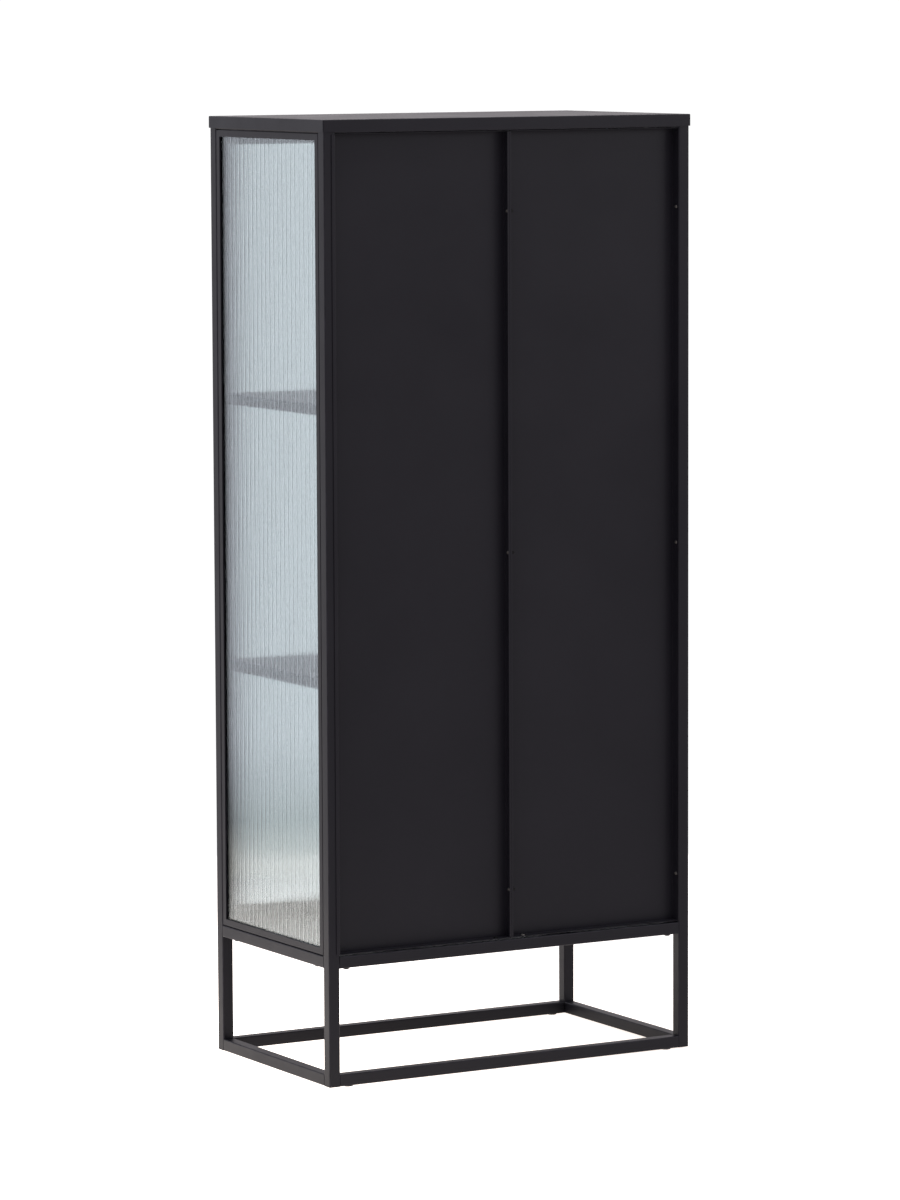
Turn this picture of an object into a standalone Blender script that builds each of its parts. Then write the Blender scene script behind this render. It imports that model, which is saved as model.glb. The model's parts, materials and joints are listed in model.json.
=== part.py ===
"""Display cabinet with reeded glass: tube frame, folded steel cap and back, glazed sides and two doors.

Metres, +Z up. The doors face -Y and the sheet-metal back faces +Y. Left and right are those of a person
who stands in front of the doors, so right is +X. The origin is on the floor, under the middle of the
bounding box.
"""

import math

import bmesh
import bpy
from mathutils import Matrix, Vector
from mathutils.geometry import tessellate_polygon

# Driving sizes
WIDTH = 0.703  # over the posts
DEPTH = 0.400
HEIGHT = 1.600  # floor to the top of the cap
BODY_HEIGHT = 0.200  # floor to the underside of the body rails
GAP = 0.0003  # between pieces that touch
CLEARANCE = 0.001  # round pieces that drop into place
SHARP_ANGLE = math.radians(35)

# Tube frame
TUBE = 0.020
TUBE_WALL = 0.0015
TUBE_RADIUS = 0.002
CORNER_STEPS = 3
FOOT_HEIGHT = 0.002  # glide disc under the foot rails

# Cap
CAP_SHEET = 0.0015
CAP_SKIRT = 0.020
CAP_OVERHANG = 0.002
CAP_CORNER_RADIUS = 0.0012

# Back pans
PAN_SHEET = 0.001
PAN_DEPTH = 0.018
PAN_LIP = 0.0037
PAN_OVERLAP = 0.006  # outer lip over the post's rear face
PAN_RAISE = 0.0025  # pan's underside above the body rail

# Screws that join the two pans back to back
SCREW_HEIGHTS = {"lower": 0.304, "middle": 0.874, "upper": 1.444}
SCREW_RADIUS = 0.00175
SCREW_HOLE = 0.0021
SCREW_HEAD_RADIUS = 0.0028
SCREW_HEAD = 0.002
SCREW_TIP = 0.0100
SCREW_POINT_RADIUS = 0.00105
SCREW_POINT = 0.0009
SCREW_INSET = 0.0065  # from the back plane

# Side glazing
GLAZING_SET_BACK = 0.0005
GLAZING_FACE = 0.0115
GLAZING_FACE_THICKNESS = 0.003
GLAZING_WEB = 0.0025
GLAZING_DEPTH = 0.013
GLASS = 0.004

# Shelves and floor
BOARD = 0.0165
SHELF_TOPS = {"lower": 0.678, "upper": 1.132}
CLEAT_SHEET = 0.0015
CLEAT_LEG = 0.018
CLEAT_SET_IN = 0.003  # cleat's upright leg outside the posts' inner plane

# Doors
DOOR_GAP = 0.002
DOOR_BOTTOM_GAP = 0.004
MEETING_GAP = 0.003
DOOR_FACE = 0.025
DOOR_DEPTH = 0.015
DOOR_BOX = 0.017  # width of the hollow part, beside the rebate
DOOR_LIP = 0.004
DOOR_WALL = 0.0012
MITRE_GAP = 0.00022

# Lift-off hinges
HINGE_RADIUS = 0.0044
HINGE_HALF = 0.030
HINGE_CHAMFER = 0.001
PIN_RADIUS = 0.0025
PIN_BORE = 0.0026
PIN_LENGTH = 0.021
HINGE_FOOT = 0.0064  # reach of the welded foot from the axis
BORE_LENGTH = 0.0225
HINGE_HEIGHTS = {"lower": 0.350, "upper": 1.450}
ROUND_STEPS = 32

# Knobs, catch and glides
KNOB_RADIUS = 0.0075
KNOB_STEM = 0.0035
KNOB_HEAD = 0.012
KNOB_LENGTH = 0.022
KNOB_CHAMFER = 0.001
CATCH_WIDTH = 0.050
CATCH_BODY = 0.0135
CATCH_NOSE = 0.0031
CATCH_DROP = 0.020
CATCH_TOP = 0.018
STRIKE = 0.0015
STRIKE_SIZE = (0.016, 0.016)
GLIDE_RADIUS = 0.008
GLIDE_STEM = 0.003
GLIDE_HOLE = 0.0035
GLIDE_STEM_LENGTH = 0.008
GLIDE_INSET = 0.040  # from the end of the cabinet

# Derived planes
POST_X = WIDTH / 2 - TUBE / 2
POST_Y = DEPTH / 2 - TUBE / 2
INNER_X = WIDTH / 2 - TUBE
INNER_Y = DEPTH / 2 - TUBE
TOP_RAIL = HEIGHT - CAP_SHEET - GAP - TUBE
LEVELS = {"base": FOOT_HEIGHT, "body": BODY_HEIGHT, "top": TOP_RAIL}
BODY_FLOOR = BODY_HEIGHT + TUBE
AXIS_X = INNER_X - DOOR_GAP / 2
AXIS_Y = -DEPTH / 2 - GAP - HINGE_RADIUS
FRONT_REACH = DEPTH / 2 + GAP + KNOB_LENGTH
BACK_REACH = DEPTH / 2 + CAP_OVERHANG
CENTRE_SHIFT = (FRONT_REACH - BACK_REACH) / 2  # brings the bounding box's middle over the origin
SIDES = {"left": -1, "right": 1}
ENDS = {"front": -1, "back": 1}


def material(name, color, roughness, metallic=0.0, alpha=1.0):
    made = bpy.data.materials.new(name)
    made.use_nodes = True
    shader = made.node_tree.nodes["Principled BSDF"]
    shader.inputs["Base Color"].default_value = (*color, 1.0)
    shader.inputs["Roughness"].default_value = roughness
    shader.inputs["Metallic"].default_value = metallic
    shader.inputs["Alpha"].default_value = alpha
    made.diffuse_color = (*color, alpha)
    return made


def clear_scene():
    for obj in list(bpy.data.objects):
        bpy.data.objects.remove(obj, do_unlink=True)


def finish(bm, name, surface, parent, location=(0, 0, 0), rotation=None, smooth=False):
    """Turns the bmesh into a named object with its material, standing on its parent."""
    bmesh.ops.recalc_face_normals(bm, faces=bm.faces)
    mesh = bpy.data.meshes.new(name)
    bm.to_mesh(mesh)
    bm.free()
    for face in mesh.polygons:
        face.use_smooth = smooth
    if smooth:
        mesh.set_sharp_from_angle(angle=SHARP_ANGLE)
    mesh.materials.append(surface)
    obj = bpy.data.objects.new(name, mesh)
    bpy.context.scene.collection.objects.link(obj)
    obj.parent = parent
    obj.location = location
    if rotation is not None:
        obj.rotation_euler = rotation.to_euler()
    return obj


def empty(name, location, parent=None):
    made = bpy.data.objects.new(name, None)
    bpy.context.scene.collection.objects.link(made)
    made.location = location
    made.parent = parent
    return made


def axes(x_axis, y_axis):
    """Rotation that takes local X and Y to these directions, and local Z to their cross product."""
    x_axis = Vector(x_axis)
    y_axis = Vector(y_axis)
    return Matrix((x_axis, y_axis, x_axis.cross(y_axis))).transposed()


def add_prism(bm, loops, low, high, mitre=0.0):
    """A prism along Z with this outline and these holes. A mitred prism grows shorter with local X."""
    corners = [point for loop in loops for point in loop]
    rings = []
    for end, sign in ((low, 1), (high, -1)):
        ring = [bm.verts.new((x, y, end + sign * mitre * x)) for x, y in corners]
        rings.append(ring)
    start = 0
    for loop in loops:
        count = len(loop)
        for i in range(count):
            j = start + (i + 1) % count
            k = start + i
            bm.faces.new((rings[0][k], rings[0][j], rings[1][j], rings[1][k]))
        start += count
    flat = [[Vector((x, y, 0)) for x, y in loop] for loop in loops]
    for triangle in tessellate_polygon(flat):
        bm.faces.new([rings[0][i] for i in triangle])
        bm.faces.new([rings[1][i] for i in reversed(triangle)])


def rectangle(x0, y0, x1, y1):
    return [(x0, y0), (x1, y0), (x1, y1), (x0, y1)]


def add_box(bm, low, high):
    add_prism(bm, [rectangle(low[0], low[1], high[0], high[1])], low[2], high[2])


def rounded_square(side, radius, steps):
    """Outline of a square with rounded corners, centred on the origin."""
    half = side / 2 - radius
    outline = []
    for quarter in range(4):
        turn = math.pi / 2 * quarter
        corner = Vector((half, half)).to_3d()
        corner.rotate(Matrix.Rotation(turn, 3, "Z"))
        for step in range(steps):
            angle = turn + math.pi / 2 * step / (steps - 1)
            outline.append((corner.x + radius * math.cos(angle), corner.y + radius * math.sin(angle)))
    return outline


def add_tray(bm, size, depth, sheet):
    """An open tray: outer size in X and Y, floor on Z = 0 and walls up to Z = depth."""
    outer_x, outer_y = size[0] / 2, size[1] / 2
    outer = rectangle(-outer_x, -outer_y, outer_x, outer_y)
    inner = rectangle(-outer_x + sheet, -outer_y + sheet, outer_x - sheet, outer_y - sheet)
    rings = [
        [bm.verts.new((x, y, z)) for x, y in loop]
        for loop, z in ((outer, 0), (outer, depth), (inner, depth), (inner, sheet))
    ]
    bm.faces.new(list(reversed(rings[0])))
    bm.faces.new(rings[3])
    for below, above in zip(rings, rings[1:]):
        for i in range(4):
            j = (i + 1) % 4
            bm.faces.new((below[i], below[j], above[j], above[i]))


def add_lathe(bm, profile, steps=ROUND_STEPS):
    """A closed solid of revolution about Z. The profile is (radius, height), from the axis to the axis."""
    rings = []
    for radius, height in profile:
        if radius == 0:
            rings.append([bm.verts.new((0, 0, height))])
            continue
        turns = [2 * math.pi * i / steps for i in range(steps)]
        rings.append([bm.verts.new((radius * math.cos(t), radius * math.sin(t), height)) for t in turns])
    for lower, upper in zip(rings, rings[1:]):
        for i in range(steps):
            j = (i + 1) % steps
            if len(lower) == 1:
                bm.faces.new((lower[0], upper[j], upper[i]))
            elif len(upper) == 1:
                bm.faces.new((lower[i], lower[j], upper[0]))
            else:
                bm.faces.new((lower[i], lower[j], upper[j], upper[i]))


def boolean(obj, helper, operation):
    """Adds or removes the helper's shape. The helper itself is never drawn."""
    helper.hide_render = True
    helper.display_type = "WIRE"
    modifier = obj.modifiers.new(f"{operation.lower()} {helper.name}", "BOOLEAN")
    modifier.operation = operation
    modifier.solver = "EXACT"
    modifier.object = helper


def cylinders(name, parent, radius, length, places, rotation=None):
    """Helper: cylinders of one radius, centred on these places in the parent's space."""
    bm = bmesh.new()
    turn = (rotation or Matrix.Identity(3)).to_4x4()
    for place in places:
        bmesh.ops.create_cone(
            bm,
            cap_ends=True,
            segments=ROUND_STEPS,
            radius1=radius,
            radius2=radius,
            depth=length,
            matrix=Matrix.Translation(place) @ turn,
        )
    return finish(bm, name, HELPER, parent)


# Surfaces
STEEL_BLACK = (0.022, 0.021, 0.024)
FRAME_COAT = material("frame_coat", STEEL_BLACK, 0.42)
SHEET_COAT = material("sheet_coat", STEEL_BLACK, 0.38)
DOOR_COAT = material("door_coat", STEEL_BLACK, 0.42)
BOARD_COAT = material("board_coat", (0.030, 0.030, 0.032), 0.5)
REEDED_GLASS = material("reeded_glass", (0.72, 0.80, 0.82), 0.15, alpha=0.35)
HINGE_STEEL = material("hinge_steel", (0.026, 0.025, 0.027), 0.35, 0.6)
KNOB_STEEL = material("knob_steel", (0.024, 0.023, 0.025), 0.35)
SCREW_STEEL = material("screw_steel", (0.05, 0.05, 0.052), 0.4, 1.0)
CATCH_PLASTIC = material("catch_plastic", (0.02, 0.02, 0.02), 0.55)
STRIKE_STEEL = material("strike_steel", (0.55, 0.55, 0.56), 0.35, 1.0)
GLIDE_PLASTIC = material("glide_plastic", (0.018, 0.018, 0.018), 0.6)
HELPER = material("helper", (0.8, 0.2, 0.2), 0.5)


def tube(name, parent, centre, length, direction):
    """A square tube of this length, centred here, along X, Y or Z."""
    outer = rounded_square(TUBE, TUBE_RADIUS, CORNER_STEPS)
    hollow = TUBE / 2 - TUBE_WALL
    inner = rectangle(-hollow, -hollow, hollow, hollow)
    turns = {"X": axes((0, 1, 0), (0, 0, 1)), "Y": axes((0, 0, 1), (1, 0, 0)), "Z": Matrix.Identity(3)}
    bm = bmesh.new()
    add_prism(bm, [outer, inner], -length / 2, length / 2)
    return finish(bm, name, FRAME_COAT, parent, centre, turns[direction])


def build_frame(root):
    """Four posts with three levels of rails between them."""
    bottom = FOOT_HEIGHT
    top = TOP_RAIL + TUBE
    for end, y_sign in ENDS.items():
        for side, x_sign in SIDES.items():
            centre = (x_sign * POST_X, y_sign * POST_Y, (bottom + top) / 2)
            tube(f"post_{end}_{side}", root, centre, top - bottom, "Z")
    rails = {}
    for level, height in LEVELS.items():
        middle = height + TUBE / 2
        for side, x_sign in SIDES.items():
            centre = (x_sign * POST_X, 0, middle)
            tube(f"side_{level}_rail_{side}", root, centre, 2 * (INNER_Y - GAP), "Y")
        for end, y_sign in ENDS.items():
            centre = (0, y_sign * POST_Y, middle)
            name = f"{end}_{level}_rail"
            rails[name] = tube(name, root, centre, 2 * (INNER_X - GAP), "X")
    return rails


def build_glides(root, rails):
    """Plastic glides whose stems stand in holes of the two long foot rails."""
    reach = WIDTH / 2 - GLIDE_INSET
    disc = FOOT_HEIGHT - GAP
    profile = [
        (0, 0),
        (GLIDE_RADIUS - disc / 2, 0),
        (GLIDE_RADIUS, disc / 2),
        (GLIDE_RADIUS, disc),
        (GLIDE_STEM, disc),
        (GLIDE_STEM, GLIDE_STEM_LENGTH),
        (0, GLIDE_STEM_LENGTH),
    ]
    for end, y_sign in ENDS.items():
        places = [Vector((x_sign * reach, y_sign * POST_Y, FOOT_HEIGHT)) for x_sign in SIDES.values()]
        holes = cylinders(f"glide_holes_{end}", root, GLIDE_HOLE, TUBE / 2, places)
        boolean(rails[f"{end}_base_rail"], holes, "DIFFERENCE")
        for side, x_sign in SIDES.items():
            bm = bmesh.new()
            add_lathe(bm, profile)
            centre = (x_sign * reach, y_sign * POST_Y, 0)
            finish(bm, f"glide_{end}_{side}", GLIDE_PLASTIC, root, centre, smooth=True)


def build_cap(root):
    """Folded sheet lid, upside down over the top rails."""
    size = (WIDTH + 2 * CAP_OVERHANG, DEPTH + 2 * CAP_OVERHANG)
    bm = bmesh.new()
    add_tray(bm, size, CAP_SKIRT, CAP_SHEET)
    reach_x, reach_y = size[0] / 2, size[1] / 2
    rim = [
        edge
        for edge in bm.edges
        if all(abs(v.co.x) > reach_x - GAP and abs(v.co.y) > reach_y - GAP for v in edge.verts)
    ]
    bmesh.ops.bevel(bm, geom=rim, offset=CAP_CORNER_RADIUS, segments=2, affect="EDGES", profile=0.5)
    upside_down = Matrix.Rotation(math.pi, 3, "X")
    finish(bm, "top_cap", SHEET_COAT, root, (0, 0, HEIGHT), upside_down)


def build_back(root):
    """Two pans with flanges to the rear, joined back to back at the centre by three screws.

    The outer flange of each pan ends in a lip that lies over the rear face of the post.
    """
    low = BODY_FLOOR + PAN_RAISE
    high = TOP_RAIL - CLEARANCE
    width = INNER_X - 2 * GAP
    centre_z = (low + high) / 2
    face_rear = axes((1, 0, 0), (0, 0, -1))
    screw_y = DEPTH / 2 - SCREW_INSET
    places = [Vector((0, screw_y, height)) for height in SCREW_HEIGHTS.values()]
    holes = cylinders("pan_screw_holes", root, SCREW_HOLE, 4 * PAN_SHEET, places, axes((0, 1, 0), (0, 0, 1)))
    lip_low = low + PAN_SHEET
    lip_high = high - PAN_SHEET
    for side, sign in SIDES.items():
        bm = bmesh.new()
        add_tray(bm, (width, high - low), PAN_DEPTH, PAN_SHEET)
        centre = (sign * (GAP + width / 2), INNER_Y, centre_z)
        pan = finish(bm, f"back_panel_{side}", SHEET_COAT, root, centre, face_rear)
        lip_x = sorted((sign * (GAP + PAN_SHEET / 2), sign * (GAP + PAN_LIP)))
        rear = INNER_Y + PAN_DEPTH
        bm = bmesh.new()
        add_box(bm, (lip_x[0], rear - PAN_SHEET, lip_low - GAP), (lip_x[1], rear, lip_high + GAP))
        lip = finish(bm, f"pan_lip_{side}", HELPER, root)
        boolean(pan, lip, "UNION")
        flange = sorted((sign * (width + GAP - PAN_SHEET), sign * (width + GAP)))
        over = sorted((sign * (width + GAP - PAN_SHEET / 2), sign * (INNER_X + PAN_OVERLAP)))
        post_rear = DEPTH / 2 + GAP
        for part, reach, front in (("riser", flange, rear - PAN_SHEET / 2), ("overlap", over, post_rear)):
            bm = bmesh.new()
            add_box(bm, (reach[0], front, lip_low), (reach[1], post_rear + PAN_SHEET, lip_high))
            boolean(pan, finish(bm, f"pan_{part}_{side}", HELPER, root), "UNION")
        boolean(pan, holes, "DIFFERENCE")
    head = 2 * GAP + PAN_SHEET
    profile = [
        (0, -SCREW_TIP),
        (SCREW_POINT_RADIUS, -SCREW_TIP),
        (SCREW_RADIUS, -SCREW_TIP + SCREW_POINT),
        (SCREW_RADIUS, head),
        (SCREW_HEAD_RADIUS, head),
        (SCREW_HEAD_RADIUS, head + SCREW_HEAD / 2),
        (SCREW_HEAD_RADIUS / 2, head + SCREW_HEAD),
        (0, head + SCREW_HEAD),
    ]
    for level, height in SCREW_HEIGHTS.items():
        bm = bmesh.new()
        add_lathe(bm, profile, ROUND_STEPS // 2)
        along_x = axes((0, 1, 0), (0, 0, 1))
        finish(bm, f"back_screw_{level}", SCREW_STEEL, root, (0, screw_y, height), along_x, smooth=True)


def build_side_glazing(root):
    """On each side, an L-section frame with mitred corners, and the pane in its rebate."""
    low = BODY_FLOOR + CLEARANCE
    high = TOP_RAIL - CLEARANCE
    half_depth = INNER_Y - CLEARANCE
    section = [
        (0, 0),
        (GLAZING_FACE, 0),
        (GLAZING_FACE, GLAZING_FACE_THICKNESS),
        (GLAZING_WEB, GLAZING_FACE_THICKNESS),
        (GLAZING_WEB, GLAZING_DEPTH),
        (0, GLAZING_DEPTH),
    ]
    half_height = (high - low) / 2
    centre_z = (low + high) / 2
    pane = Vector((half_depth - GLAZING_WEB - GAP, half_height - GLAZING_WEB - GAP))
    for side, sign in SIDES.items():
        outward = axes((0, sign, 0), (0, 0, 1))
        face_x = sign * (WIDTH / 2 - GLAZING_SET_BACK)
        bm = bmesh.new()
        rings = []
        for inward, depth in section:
            reach = (half_depth - inward, half_height - inward)
            corners = rectangle(-reach[0], -reach[1], reach[0], reach[1])
            rings.append([bm.verts.new((x, y, -depth)) for x, y in corners])
        for outer, inner in zip(rings, rings[1:] + rings[:1]):
            for i in range(4):
                j = (i + 1) % 4
                bm.faces.new((outer[i], outer[j], inner[j], inner[i]))
        finish(bm, f"glazing_frame_{side}", FRAME_COAT, root, (face_x, 0, centre_z), outward)
        glass_front = GLAZING_FACE_THICKNESS + GAP
        bm = bmesh.new()
        add_box(bm, (-pane.x, -pane.y, -glass_front - GLASS), (pane.x, pane.y, -glass_front))
        finish(bm, f"side_glass_{side}", REEDED_GLASS, root, (face_x, 0, centre_z), outward)


def build_boards(root):
    """The floor between the body rails, and the shelves with the angle cleats that carry them."""
    reach = INNER_X - GAP
    half_depth = INNER_Y - GAP
    bm = bmesh.new()
    add_box(bm, (-reach, -half_depth, -BOARD), (reach, half_depth, 0))
    finish(bm, "floor_panel", BOARD_COAT, root, (0, 0, BODY_FLOOR + CLEARANCE))
    shelf_x = INNER_X - CLEARANCE
    shelf_y = INNER_Y - CLEARANCE
    under = BOARD + GAP
    outer = INNER_X + CLEAT_SET_IN
    angle = [
        (outer, -under - CLEAT_SHEET),
        (outer, -CLEARANCE),
        (outer - CLEAT_SHEET, -CLEARANCE),
        (outer - CLEAT_SHEET, -under),
        (outer - CLEAT_LEG, -under),
        (outer - CLEAT_LEG, -under - CLEAT_SHEET),
    ]
    for level, height in SHELF_TOPS.items():
        bm = bmesh.new()
        add_box(bm, (-shelf_x, -shelf_y, -BOARD), (shelf_x, shelf_y, 0))
        finish(bm, f"shelf_{level}", BOARD_COAT, root, (0, 0, height))
        for side, sign in SIDES.items():
            bm = bmesh.new()
            add_prism(bm, [[(sign * x, z) for x, z in angle]], -half_depth, half_depth)
            lying = axes((1, 0, 0), (0, 0, 1))
            finish(bm, f"shelf_cleat_{level}_{side}", FRAME_COAT, root, (0, 0, height), lying)


def build_door(side, sign, root, pivot):
    """Mitred frame of rebated tube, its pane, the knob and the strike plate, all turning about the pivot."""
    low = BODY_FLOOR + DOOR_BOTTOM_GAP
    high = TOP_RAIL - DOOR_GAP
    hinge_edge = sign * (INNER_X - DOOR_GAP)
    meeting_edge = sign * MEETING_GAP / 2
    front = -DEPTH / 2
    centre = Vector(((hinge_edge + meeting_edge) / 2, front, (low + high) / 2)) - pivot.location
    half = Vector((abs(hinge_edge - meeting_edge) / 2, (high - low) / 2))
    section = [
        (0, 0),
        (DOOR_FACE, 0),
        (DOOR_FACE, DOOR_LIP),
        (DOOR_BOX, DOOR_LIP),
        (DOOR_BOX, DOOR_DEPTH),
        (0, DOOR_DEPTH),
    ]
    hollow = rectangle(DOOR_WALL, DOOR_WALL, DOOR_BOX - DOOR_WALL, DOOR_DEPTH - DOOR_WALL)
    members = {
        "hinge_stile": ((sign * half.x, 0, 0), (-sign, 0, 0), half.y),
        "meeting_stile": ((-sign * half.x, 0, 0), (sign, 0, 0), half.y),
        "top_rail": ((0, 0, half.y), (0, 0, -1), half.x),
        "bottom_rail": ((0, 0, -half.y), (0, 0, 1), half.x),
    }
    for member, (offset, inward, reach) in members.items():
        bm = bmesh.new()
        add_prism(bm, [section, hollow], -reach + MITRE_GAP, reach - MITRE_GAP, mitre=1.0)
        place = centre + Vector(offset)
        finish(bm, f"door_{side}_{member}", DOOR_COAT, pivot, place, axes(inward, (0, 1, 0)))
    pane = half - Vector((DOOR_BOX + GAP, DOOR_BOX + GAP))
    glass_front = DOOR_LIP + GAP
    bm = bmesh.new()
    add_box(bm, (-pane.x, glass_front, -pane.y), (pane.x, glass_front + GLASS, pane.y))
    finish(bm, f"door_{side}_glass", REEDED_GLASS, pivot, centre)
    stile_centre = -sign * (half.x - DOOR_FACE / 2)
    neck = KNOB_LENGTH - KNOB_HEAD
    profile = [
        (0, 0),
        (KNOB_STEM, 0),
        (KNOB_STEM, neck),
        (KNOB_RADIUS - KNOB_CHAMFER, neck),
        (KNOB_RADIUS, neck + KNOB_CHAMFER),
        (KNOB_RADIUS, KNOB_LENGTH - KNOB_CHAMFER),
        (KNOB_RADIUS - KNOB_CHAMFER, KNOB_LENGTH),
        (0, KNOB_LENGTH),
    ]
    bm = bmesh.new()
    add_lathe(bm, profile)
    place = centre + Vector((stile_centre, -GAP, 0))
    finish(bm, f"door_{side}_knob", KNOB_STEEL, pivot, place, axes((1, 0, 0), (0, 0, 1)), smooth=True)
    across, tall = STRIKE_SIZE
    bm = bmesh.new()
    add_box(bm, (-across / 2, 0, -tall / 2), (across / 2, STRIKE, tall / 2))
    place = centre + Vector((stile_centre, DOOR_DEPTH + GAP, half.y - DOOR_FACE / 2))
    finish(bm, f"door_{side}_strike", STRIKE_STEEL, pivot, place)


def build_hinges(side, sign, root, pivot):
    """Lift-off hinges: the lower half with its pin is on the post, the upper half is on the door."""
    pin_half = [
        (0, -HINGE_HALF),
        (HINGE_RADIUS - HINGE_CHAMFER, -HINGE_HALF),
        (HINGE_RADIUS, -HINGE_HALF + HINGE_CHAMFER),
        (HINGE_RADIUS, -GAP / 2),
        (PIN_RADIUS, -GAP / 2),
        (PIN_RADIUS, PIN_LENGTH - HINGE_CHAMFER),
        (PIN_RADIUS - HINGE_CHAMFER, PIN_LENGTH),
        (0, PIN_LENGTH),
    ]
    sleeve_half = [
        (0, BORE_LENGTH),
        (PIN_BORE, BORE_LENGTH),
        (PIN_BORE, GAP / 2),
        (HINGE_RADIUS, GAP / 2),
        (HINGE_RADIUS, HINGE_HALF - HINGE_CHAMFER),
        (HINGE_RADIUS - HINGE_CHAMFER, HINGE_HALF),
        (0, HINGE_HALF),
    ]
    halves = {"pin": (pin_half, 1, root, -1), "sleeve": (sleeve_half, -1, pivot, 1)}
    for level, height in HINGE_HEIGHTS.items():
        for half, (profile, outward, parent, upward) in halves.items():
            place = Vector((sign * AXIS_X, AXIS_Y, height))
            if parent is pivot:
                place -= pivot.location
            bm = bmesh.new()
            add_lathe(bm, profile)
            made = finish(bm, f"hinge_{side}_{level}_{half}", HINGE_STEEL, parent, place, smooth=True)
            foot_x = sorted(sign * outward * reach for reach in (PIN_BORE + GAP, HINGE_FOOT))
            foot_z = sorted((upward * HINGE_CHAMFER, upward * (HINGE_HALF - HINGE_CHAMFER)))
            bm = bmesh.new()
            add_box(bm, (foot_x[0], 0, foot_z[0]), (foot_x[1], HINGE_RADIUS, foot_z[1]))
            foot = finish(bm, f"weld_foot_{side}_{level}_{half}", HELPER, parent, place)
            boolean(made, foot, "UNION")


def build_catch(root):
    """Double magnetic catch behind the front top rail, its nose facing the strike plates."""
    rear = -INNER_Y + GAP
    section = [
        (rear, TOP_RAIL + CATCH_TOP),
        (rear + CATCH_BODY, TOP_RAIL + CATCH_TOP),
        (rear + CATCH_BODY, TOP_RAIL - CATCH_DROP),
        (rear - CATCH_NOSE, TOP_RAIL - CATCH_DROP),
        (rear - CATCH_NOSE, TOP_RAIL - CLEARANCE),
        (rear, TOP_RAIL - CLEARANCE),
    ]
    bm = bmesh.new()
    add_prism(bm, [section], -CATCH_WIDTH / 2, CATCH_WIDTH / 2)
    finish(bm, "magnetic_catch", CATCH_PLASTIC, root, (0, 0, 0), axes((0, 1, 0), (0, 0, 1)))


def main():
    clear_scene()
    root = empty("cabinet", (0, CENTRE_SHIFT, 0))
    rails = build_frame(root)
    build_glides(root, rails)
    build_cap(root)
    build_back(root)
    build_side_glazing(root)
    build_boards(root)
    build_catch(root)
    for side, sign in SIDES.items():
        pivot = empty(f"door_{side}_axis", (sign * AXIS_X, AXIS_Y, BODY_FLOOR), root)
        build_door(side, sign, root, pivot)
        build_hinges(side, sign, root, pivot)


main()
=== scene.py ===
"""Looks of a tall display cabinet with reeded glass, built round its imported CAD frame.

Metres, +Z up. The doors face -Y and the folded sheet-metal back faces +Y. Left and right are those of
a person in front of the doors, so right is +X. A piece takes its place from the box of the CAD node it
stands for.
"""

import json
import math

import bmesh
import bpy
from mathutils import Matrix, Vector


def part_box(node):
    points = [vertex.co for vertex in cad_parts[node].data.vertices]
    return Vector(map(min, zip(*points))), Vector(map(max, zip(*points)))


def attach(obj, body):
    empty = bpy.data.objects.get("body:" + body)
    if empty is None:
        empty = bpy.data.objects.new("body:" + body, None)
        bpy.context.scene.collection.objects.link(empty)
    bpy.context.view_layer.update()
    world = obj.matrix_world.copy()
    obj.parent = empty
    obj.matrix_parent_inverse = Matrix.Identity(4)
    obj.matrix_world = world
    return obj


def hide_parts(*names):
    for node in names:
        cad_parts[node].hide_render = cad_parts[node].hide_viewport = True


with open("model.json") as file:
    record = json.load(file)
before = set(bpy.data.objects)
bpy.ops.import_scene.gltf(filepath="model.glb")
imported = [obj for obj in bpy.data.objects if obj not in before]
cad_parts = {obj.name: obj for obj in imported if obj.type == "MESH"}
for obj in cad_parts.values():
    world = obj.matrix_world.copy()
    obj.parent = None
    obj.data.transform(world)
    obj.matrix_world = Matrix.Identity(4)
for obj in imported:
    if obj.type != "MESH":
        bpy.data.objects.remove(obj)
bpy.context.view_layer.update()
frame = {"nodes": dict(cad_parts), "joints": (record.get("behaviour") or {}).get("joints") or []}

SIDES = {"left": -1, "right": 1}
ENDS = ("front", "back")
CABINET = "cabinet"


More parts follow.
